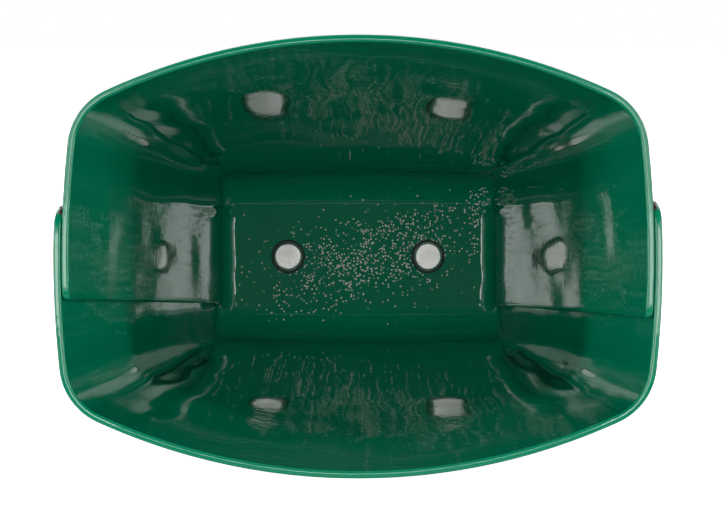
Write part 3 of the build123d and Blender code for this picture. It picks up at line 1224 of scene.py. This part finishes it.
def linear(hex_colour: str, share: float = 1.0) -> tuple[float, float, float, float]:
    """Turns an sRGB hex colour such as "#00875f" into linear numbers.

    Args:
        hex_colour: the colour.
        share: factor on its red, green and blue, for a darker or lighter patch.

    Returns:
        Red, green, blue and alpha.
    """
    channels = (int(hex_colour[i:i + 2], 16) / 255 for i in (1, 3, 5))
    values = (c / 12.92 if c <= 0.04045 else ((c + 0.055) / 1.055) ** 2.4 for c in channels)
    return (*(share * value for value in values), 1.0)


def per_mm(pitch_mm: float) -> float:
    """Scale of a pattern on Object coordinates whose features are pitch_mm apart."""
    return 1.0 / (pitch_mm * MM)


class Graph:
    """Node tree of one material, with a short way to add nodes."""

    def __init__(self, name: str) -> None:
        """Starts a material that holds only a Principled shader and its output.

        Args:
            name: the material's name.
        """
        self.material = bpy.data.materials.new(name)
        self.material.use_nodes = True
        self.tree = self.material.node_tree
        self.place = self.add("ShaderNodeTexCoord", "Object")

    def plug(self, node: bpy.types.Node, links: dict[str, object]) -> None:
        """Links or sets a node's inputs.

        Args:
            node: the node.
            links: sockets by name, with _ for a space, or i0, i1 and so on by place; a
                value is linked if it is a socket and set if it is a number or a tuple.
        """
        for key, value in links.items():
            by_place = key[0] == "i" and key[1:].isdigit()
            socket = node.inputs[int(key[1:]) if by_place else key.replace("_", " ")]
            if isinstance(value, bpy.types.NodeSocket):
                self.tree.links.new(value, socket)
            else:
                socket.default_value = value

    def add(self, kind: str, out: int | str = 0, settings: dict[str, object] | None = None,
            **links: object) -> bpy.types.NodeSocket:
        """Adds a node.

        Args:
            kind: the node's type.
            out: name or place of the output to return.
            settings: its attributes, such as operation.
            links: its inputs, as plug takes them.

        Returns:
            The output that was asked for.
        """
        node = self.tree.nodes.new(kind)
        for key, value in (settings or {}).items():
            setattr(node, key, value)
        self.plug(node, links)
        return node.outputs[out]

    def set(self, **values: object) -> bpy.types.Material:
        """Sets or links the shader's own sockets.

        Args:
            values: its inputs, as plug takes them.

        Returns:
            The finished material.
        """
        self.plug(self.tree.nodes["Principled BSDF"], values)
        return self.material


@dataclass(frozen=True)
class GlossPowderCoat:
    """Gloss polyester powder coat on steel.

    To the eye it is a saturated, even green with mirror-sharp reflections. The melt levels
    into very shallow waves a few millimetres apart, orange peel, which wrinkle those
    reflections. Deep in the bell some light is painted into the colour: glints as single
    near-white grains on the crown, and a reflection as a pale, dull film on each flap beside
    it. Real powder grains are 0.03 to 0.1 mm, too fine to show, so the painted grains are
    drawn about 0.3 mm wide.
    """

    colour: str = "#008862"
    shade: str = "#007e5d"
    # Pale grey-green of the painted reflection beside the crown.
    dust_colour: str = "#8fa8a0"
    # Near-white of the painted glints on the crown.
    glint_colour: str = "#f7faf9"
    roughness: float = 0.06
    gloss: float = 0.03
    under_gloss: float = 0.10
    cloud_pitch: float = 34.0
    peel_pitch: float = 2.2
    peel_depth: float = 0.02
    # Grains that carry the painted glints: spacing, bump depth and patch size.
    grain_pitch: float = 0.80
    grain_depth: float = 0.08
    grain_patch: float = 7.0
    # Patches of the painted reflection, how much of its colour shows and how much it dulls the
    # coat.
    dust_pitch: float = 0.9
    dust_patch: float = 11.0
    dust_cover: float = 0.95
    dust_dulling: float = 0.3

    def glint_grains(self, g: Graph) -> bpy.types.NodeSocket:
        """Single grains, painted near-white as glints: each cell holds one, if its random
        number is under the density.

        Args:
            g: the material's nodes.

        Returns:
            1 on a grain and 0 off it.
        """
        away = g.add(CELLS, "Distance", Vector=g.place, Scale=per_mm(self.grain_pitch))
        chance = g.add("ShaderNodeSeparateColor", Color=away.node.outputs["Color"])
        patch = g.add(NOISE, Vector=g.place, Scale=per_mm(self.grain_patch), Detail=2.0)
        patch = g.add(RANGE, i0=patch, i1=0.35, i2=0.6, i3=0.35, i4=1.2)
        painted_light_mask = g.add("ShaderNodeAttribute", "Fac", {"attribute_name": "glint_specks"})
        kept = g.add(MATH, settings=BELOW, i0=chance,
                     i1=g.add(MATH, settings=TIMES, i0=painted_light_mask, i1=patch))
        disc = g.add(RANGE, i0=away, i1=0.24, i2=0.42, i3=1.0, i4=0.0)
        return g.add(MATH, settings=TIMES, i0=kept, i1=disc)

    def painted_reflection_patches(self, g: Graph) -> bpy.types.NodeSocket:
        """Painted reflection on the flaps beside the crown, patchy at two scales.

        Args:
            g: the material's nodes.

        Returns:
            How much of the painted reflection lies at each point, from 0 to 1.
        """
        fine = g.add(NOISE, Vector=g.place, Scale=per_mm(self.dust_pitch), Detail=3.0)
        fine = g.add(RANGE, i0=fine, i1=0.40, i2=0.66, i3=0.15, i4=1.0)
        patch = g.add(NOISE, Vector=g.place, Scale=per_mm(self.dust_patch), Detail=2.0)
        patch = g.add(RANGE, i0=patch, i1=0.32, i2=0.56, i3=0.25, i4=1.0)
        painted_light_mask = g.add("ShaderNodeAttribute", "Fac", {"attribute_name": "dust"})
        return g.add(MATH, settings=TIMES, i0=painted_light_mask,
                     i1=g.add(MATH, settings=TIMES, i0=fine, i1=patch))

    def make(self) -> bpy.types.Material:
        """Builds the material.

        Returns:
            The material.
        """
        g = Graph("gloss_powder_coat")
        cloud = g.add(NOISE, Vector=g.place, Scale=per_mm(self.cloud_pitch), Detail=3.0)
        peel = g.add(NOISE, Vector=g.place, Scale=per_mm(self.peel_pitch), Detail=2.5)
        grain, reflection_amount = self.glint_grains(g), self.painted_reflection_patches(g)
        colour = g.add(MIX, MIXED, COLOURS, i0=cloud, i6=linear(self.colour),
                       i7=linear(self.shade))
        # Painted reflection: pale grey-green where the reflection patch lies.
        colour = g.add(MIX, MIXED, COLOURS, i6=colour, i7=linear(self.dust_colour),
                       i0=g.add(MATH, settings=TIMES, i0=reflection_amount, i1=self.dust_cover))
        # Painted glints: near-white grains on the crown.
        colour = g.add(MIX, MIXED, COLOURS, i0=grain, i6=colour, i7=linear(self.glint_colour))
        normal = g.add(BUMP, Height=peel, Distance=self.peel_depth * MM)
        normal = g.add(BUMP, Height=grain, Distance=self.grain_depth * MM, Normal=normal)
        smooth = g.add(RANGE, i0=cloud, i1=0.3, i2=0.7, i3=self.roughness - 0.02,
                       i4=self.roughness + 0.03)
        dulled = g.add(MATH, settings=TIMES, i0=reflection_amount, i1=self.dust_dulling)
        return g.set(
            Base_Color=colour,
            Roughness=g.add(MATH, settings=PLUS, i0=smooth, i1=dulled),
            IOR=POLYMER_IOR,
            Specular_IOR_Level=self.under_gloss,
            Coat_Weight=1.0,
            Coat_Roughness=self.gloss,
            Coat_IOR=POLYMER_IOR,
            Normal=normal,
            Coat_Normal=normal,
        )


@dataclass(frozen=True)
class BrazeMetal:
    """Copper-rich braze as it froze, under flux and heat stain.

    To the eye it is a dark red, lumpy bead, half dull, that glints only here and there. Its
    stain clouds are a few millimetres across and its frozen ripples under one.
    """

    colour: str = "#5c1420"
    stain: str = "#2c0b0f"
    metallic: float = 0.55
    roughness: float = 0.42
    roughness_spread: float = 0.12
    cloud_pitch: float = 3.0
    lump_pitch: float = 0.9
    lump_depth: float = 0.05

    def make(self) -> bpy.types.Material:
        """Builds the material.

        Returns:
            The material.
        """
        g = Graph("copper_braze")
        cloud = g.add(NOISE, Vector=g.place, Scale=per_mm(self.cloud_pitch), Detail=3.0)
        lumps = g.add(NOISE, Vector=g.place, Scale=per_mm(self.lump_pitch), Detail=2.0)
        return g.set(
            Base_Color=g.add(MIX, MIXED, COLOURS, i0=cloud, i6=linear(self.colour),
                             i7=linear(self.stain)),
            Metallic=self.metallic,
            Roughness=g.add(RANGE, i0=cloud, i1=0.3, i2=0.7,
                            i3=self.roughness - self.roughness_spread,
                            i4=self.roughness + self.roughness_spread),
            Normal=g.add(BUMP, Height=lumps, Distance=self.lump_depth * MM),
        )


@dataclass(frozen=True)
class BareMetal:
    """Bare or plated metal with fine tool marks and a thin, patchy stain.

    Real grinding and die marks are 0.05 to 0.2 mm apart, too fine to show, so every mark
    pitch here is coarser.

    Args:
        name: what the metal is and how it was finished.
        colour: its face-on reflection.
        roughness: spread of its reflections.
        mark_pitch: distance between the marks, in millimetres.
        mark_depth: their depth.
        stain_pitch: distance between stained patches.
        stain_shade: brightness of a stained patch.
    """

    name: str
    colour: str
    roughness: float
    mark_pitch: float
    mark_depth: float
    stain_pitch: float = 6.0
    stain_shade: float = 0.72

    def make(self) -> bpy.types.Material:
        """Builds the material.

        Returns:
            The material.
        """
        g = Graph(self.name)
        stain = g.add(NOISE, Vector=g.place, Scale=per_mm(self.stain_pitch), Detail=3.0)
        marks = g.add(NOISE, Vector=g.place, Scale=per_mm(self.mark_pitch), Detail=3.0)
        return g.set(
            Base_Color=g.add(MIX, MIXED, COLOURS,
                             i0=g.add(RANGE, i0=stain, i1=0.45, i2=0.75, i3=0.0, i4=1.0),
                             i6=linear(self.colour),
                             i7=linear(self.colour, self.stain_shade)),
            Roughness=g.add(RANGE, i0=marks, i1=0.3, i2=0.7, i3=self.roughness * 0.8,
                            i4=self.roughness * 1.25),
            Metallic=1.0,
            Normal=g.add(BUMP, Height=marks, Distance=self.mark_depth * MM),
        )


@dataclass(frozen=True)
class NearBlackFinish:
    """Near-black, dull finish of the washers under the rivet tails.

    It draws the dark ring round each tail. To the eye it is nearly black and dull, with
    faint lighter clouds. Its grain is drawn 0.6 mm apart.
    """

    colour: str = "#141414"
    cloud_shade: float = 1.8
    roughness: float = 0.60
    roughness_spread: float = 0.1
    cloud_pitch: float = 1.5
    grain_pitch: float = 0.6
    grain_depth: float = 0.02

    def make(self) -> bpy.types.Material:
        """Builds the material.

        Returns:
            The material.
        """
        g = Graph("near_black_washer_finish")
        cloud = g.add(NOISE, Vector=g.place, Scale=per_mm(self.cloud_pitch), Detail=3.0)
        grain = g.add(NOISE, Vector=g.place, Scale=per_mm(self.grain_pitch), Detail=2.0)
        return g.set(
            Base_Color=g.add(MIX, MIXED, COLOURS, i0=cloud, i6=linear(self.colour),
                             i7=linear(self.colour, self.cloud_shade)),
            Roughness=g.add(RANGE, i0=cloud, i1=0.3, i2=0.7,
                            i3=self.roughness - self.roughness_spread,
                            i4=self.roughness + self.roughness_spread),
            Normal=g.add(BUMP, Height=grain, Distance=self.grain_depth * MM),
        )


# Rivet steel, cold hammered: nearly white, its reflections spread by the hammer's marks.
HAMMERED_STEEL = BareMetal("hammered_steel", "#f6f4f2", 0.46, 0.9, 0.03)
# Strap steel with bright nickel: a warm, almost sharp mirror with faint rolling waves.
NICKEL_PLATE = BareMetal("nickel_plated_steel", "#d6d2c8", 0.14, 1.4, 0.012)
# Forged bolt and cast nut under bright zinc: bluish silver, slightly grainy.
ZINC_PLATE = BareMetal("zinc_plated_steel", "#cfd3d8", 0.24, 0.7, 0.02)
# Spring wire, oil tempered: mid grey with a soft sheen.
SPRING_STEEL = BareMetal("tempered_spring_steel", "#85868a", 0.34, 0.4, 0.015)


def dress(piece: bpy.types.Object, material: bpy.types.Material) -> None:
    """Gives a piece its one material."""
    piece.data.materials.clear()
    piece.data.materials.append(material)


# ---------------------------------------------------------------- studio

# Name, degrees across and up from the bell's axis, width and height in metres, radiance. The
# strips draw the lines along the rim's arrises. The overhead and rear ones light only the
# outside, and the fill stands behind the camera's flag, where gloss hardly sees it.
SOFTBOXES = (
    ("front_left", -16.0, -0.5, (0.18, 0.09), 7.2),
    ("front_right", 16.0, -0.5, (0.18, 0.09), 6.6),
    ("brow_left", -16.0, 9.0, (0.18, 0.24), 2.0),
    ("brow_right", 16.0, 9.0, (0.18, 0.24), 1.8),
    ("side_left", -36.0, 9.0, (0.42, 0.70), 1.7),
    ("side_right", 36.0, 9.0, (0.42, 0.70), 1.7),
    ("strip_left", -64.0, 5.0, (0.05, 0.80), 40.0),
    ("strip_right", 64.0, 5.0, (0.05, 0.80), 40.0),
    ("overhead", 180.0, 75.0, (1.0, 0.8), 2.2),
    ("rear_left", -140.0, 30.0, (0.50, 0.70), 2.6),
    ("rear_right", 140.0, 30.0, (0.50, 0.70), 1.8),
    ("fill", 0.0, 0.0, (0.36, 0.20), 10.0),
)


@dataclass
class Studio:
    """Pale floor, soft light and the camera that looks straight into the mouth."""

    axes: BellAxes
    shape: BellShape = field(default_factory=BellShape)
    distance: float = 480.0
    lens: float = 103.6
    sensor: float = 36.0
    shift: tuple[float, float] = (6 / 728, -8.5 / 728)
    nearest: float = 0.01
    floor_half: float = 6.0
    room: float = 0.03
    backdrop: float = 1.0
    floor_glow: float = 1.0
    flag_size: tuple[float, float] = (0.20, 0.12)
    flag_away: float = 0.50
    light_away: float = 1.0
    card_size: tuple[float, float] = (0.80, 0.60)
    card_gap: float = 0.05
    card_lift: float = 0.001

    def camera(self) -> None:
        """Puts the camera on the bell's axis, in front of the mouth."""
        data = bpy.data.cameras.new("camera")
        data.lens = self.lens
        data.sensor_width = self.sensor
        data.clip_start = self.nearest
        data.shift_x, data.shift_y = self.shift
        camera = bpy.data.objects.new("camera", data)
        a = self.axes
        bpy.context.scene.collection.objects.link(camera)
        turn = np.stack((a.across, a.up, a.along), axis=1)
        camera.location = a.place(np.array([0.0, 0.0, self.shape.length + self.distance]))
        camera.rotation_euler = Matrix(turn.tolist()).to_euler()
        bpy.context.scene.camera = camera

    def sheet(self, name: str, size: tuple[float, float],
              material: bpy.types.Material) -> bpy.types.Object:
        """Makes a flat sheet that is part of the studio.

        Args:
            name: its name.
            size: width and height in metres.
            material: what it is made of.

        Returns:
            The sheet, in the plane of its own x and y.
        """
        x, y = size[0] / 2, size[1] / 2
        mesh = bpy.data.meshes.new(name)
        mesh.from_pydata([(-x, -y, 0), (x, -y, 0), (x, y, 0), (-x, y, 0)], [], [(0, 1, 2, 3)])
        mesh.materials.append(material)
        piece = bpy.data.objects.new(name, mesh)
        bpy.context.scene.collection.objects.link(piece)
        return piece

    def floor(self) -> None:
        """Lays a large matt white board under the bell, evenly lit for the camera."""
        g = Graph("matt_white_board")
        seen = g.add("ShaderNodeLightPath", "Is Camera Ray")
        board = g.set(Base_Color=(0.92, 0.92, 0.92, 1.0), Roughness=0.9,
                      Specular_IOR_Level=0.0, Emission_Color=(1.0, 1.0, 1.0, 1.0),
                      Emission_Strength=g.add(MATH, settings=TIMES, i0=seen,
                                              i1=self.floor_glow))
        self.sheet("floor", (2 * self.floor_half, 2 * self.floor_half), board)

    def aim(self, piece: bpy.types.Object, across: float, up: float, away: float) -> None:
        """Stands a piece around the mouth, facing it.

        Its direction is cos(up) (cos(across) w + sin(across) u) + sin(up) v.

        Args:
            piece: a light or a panel whose face looks along its own -Z.
            across: degrees from the bell's axis towards +u.
            up: degrees from there towards +v.
            away: metres from the middle of the mouth.
        """
        a = self.axes
        turn, rise = math.radians(across), math.radians(up)
        level = a.along * math.cos(turn) + a.across * math.sin(turn)
        towards = level * math.cos(rise) + a.up * math.sin(rise)
        mouth = a.place(np.array([0.0, 0.0, self.shape.length]))
        piece.location = mouth + towards * away
        piece.rotation_euler = Vector(towards).to_track_quat("Z", "Y").to_euler()

    def softbox(self, name: str, across: float, up: float, size: tuple[float, float],
                radiance: float) -> None:
        """Hangs one soft light that faces the mouth.

        Args:
            name: the light's name.
            across: degrees from the bell's axis towards +u.
            up: degrees from the bell's axis towards +v.
            size: width and height in metres.
            radiance: brightness of its face, where a white wall in full light is 1.
        """
        data = bpy.data.lights.new(name, "AREA")
        data.shape = "RECTANGLE"
        data.size, data.size_y = size
        data.energy = radiance * math.pi * size[0] * size[1]
        light = bpy.data.objects.new(name, data)
        light.visible_camera = False
        bpy.context.scene.collection.objects.link(light)
        self.aim(light, across, up, self.light_away)

    def panel(self, name: str, size: tuple[float, float]) -> bpy.types.Object:
        """Makes a black velvet panel, which gloss sees but neither camera nor light does.

        Args:
            name: its name.
            size: width and height in metres.

        Returns:
            The panel.
        """
        velvet = Graph(name + "_velvet").set(Base_Color=(0.004, 0.004, 0.004, 1.0),
                                             Roughness=1.0, Specular_IOR_Level=0.0)
        piece = self.sheet(name, size, velvet)
        piece.visible_camera = False
        piece.visible_shadow = False
        return piece

    def flags(self) -> None:
        """Stands one panel round the camera and lays one on the floor before the mouth."""
        self.aim(self.panel("camera_flag", self.flag_size), 0.0, 0.0, self.flag_away)
        card = self.panel("floor_flag", self.card_size)
        mouth = self.axes.place(np.array([0.0, 0.0, self.shape.length]))
        card.location = (0.0, mouth[1] - self.card_gap - self.card_size[1] / 2, self.card_lift)

    def build(self) -> None:
        """Sets up everything but the object."""
        scene = bpy.context.scene
        scene.view_settings.view_transform = "Standard"
        world = bpy.data.worlds.new("white_room")
        scene.world = world
        world.use_nodes = True
        nodes, links = world.node_tree.nodes, world.node_tree.links
        background = nodes["Background"]
        background.inputs["Color"].default_value = (1.0, 1.0, 1.0, 1.0)
        path, strength = nodes.new("ShaderNodeLightPath"), nodes.new("ShaderNodeMapRange")
        strength.inputs["To Min"].default_value = self.room
        strength.inputs["To Max"].default_value = self.backdrop
        links.new(path.outputs["Is Camera Ray"], strength.inputs["Value"])
        links.new(strength.outputs["Result"], background.inputs["Strength"])
        self.camera()
        self.floor()
        self.flags()
        for name, across, up, size, radiance in SOFTBOXES:
            self.softbox(name, across, up, size, radiance)


def main() -> None:
    """Builds the bell, piece by piece, and the studio around it."""
    logging.basicConfig(level=logging.INFO)
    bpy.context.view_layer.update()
    axes = BellAxes.from_record(frame["record"], -EyeBolt.centre)
    coat = GlossPowderCoat().make()
    braze = BrazeMetal().make()
    steel, nickel, zinc, grey = (
        metal.make() for metal in (HAMMERED_STEEL, NICKEL_PLATE, ZINC_PLATE, SPRING_STEEL))
    black = NearBlackFinish().make()

    body = FoldedBody(axes)
    pieces = [(body.build(), coat)]
    for side in Side:
        rivet = Rivet(body, side)
        pieces += [(CrownFillet(body, side).build(), coat), (SeamBead(body, side).build(), braze),
                   (rivet.build(), steel), (rivet.washer().build(axes), black)]
    spring = SpringWasher(axes)
    pieces += [(Strap().build(), nickel), (EyeBolt(axes).build(), zinc),
               (WingNut(axes).build(), zinc), (spring.flat_washer().build(axes), zinc),
               (spring.build(), grey)]
    for piece, material in pieces:
        dress(piece, material)
        LOG.info("%s: %d faces, %s", piece.name, len(piece.data.polygons), material.name)

    Studio(axes).build()


if __name__ == "__main__":
    main()
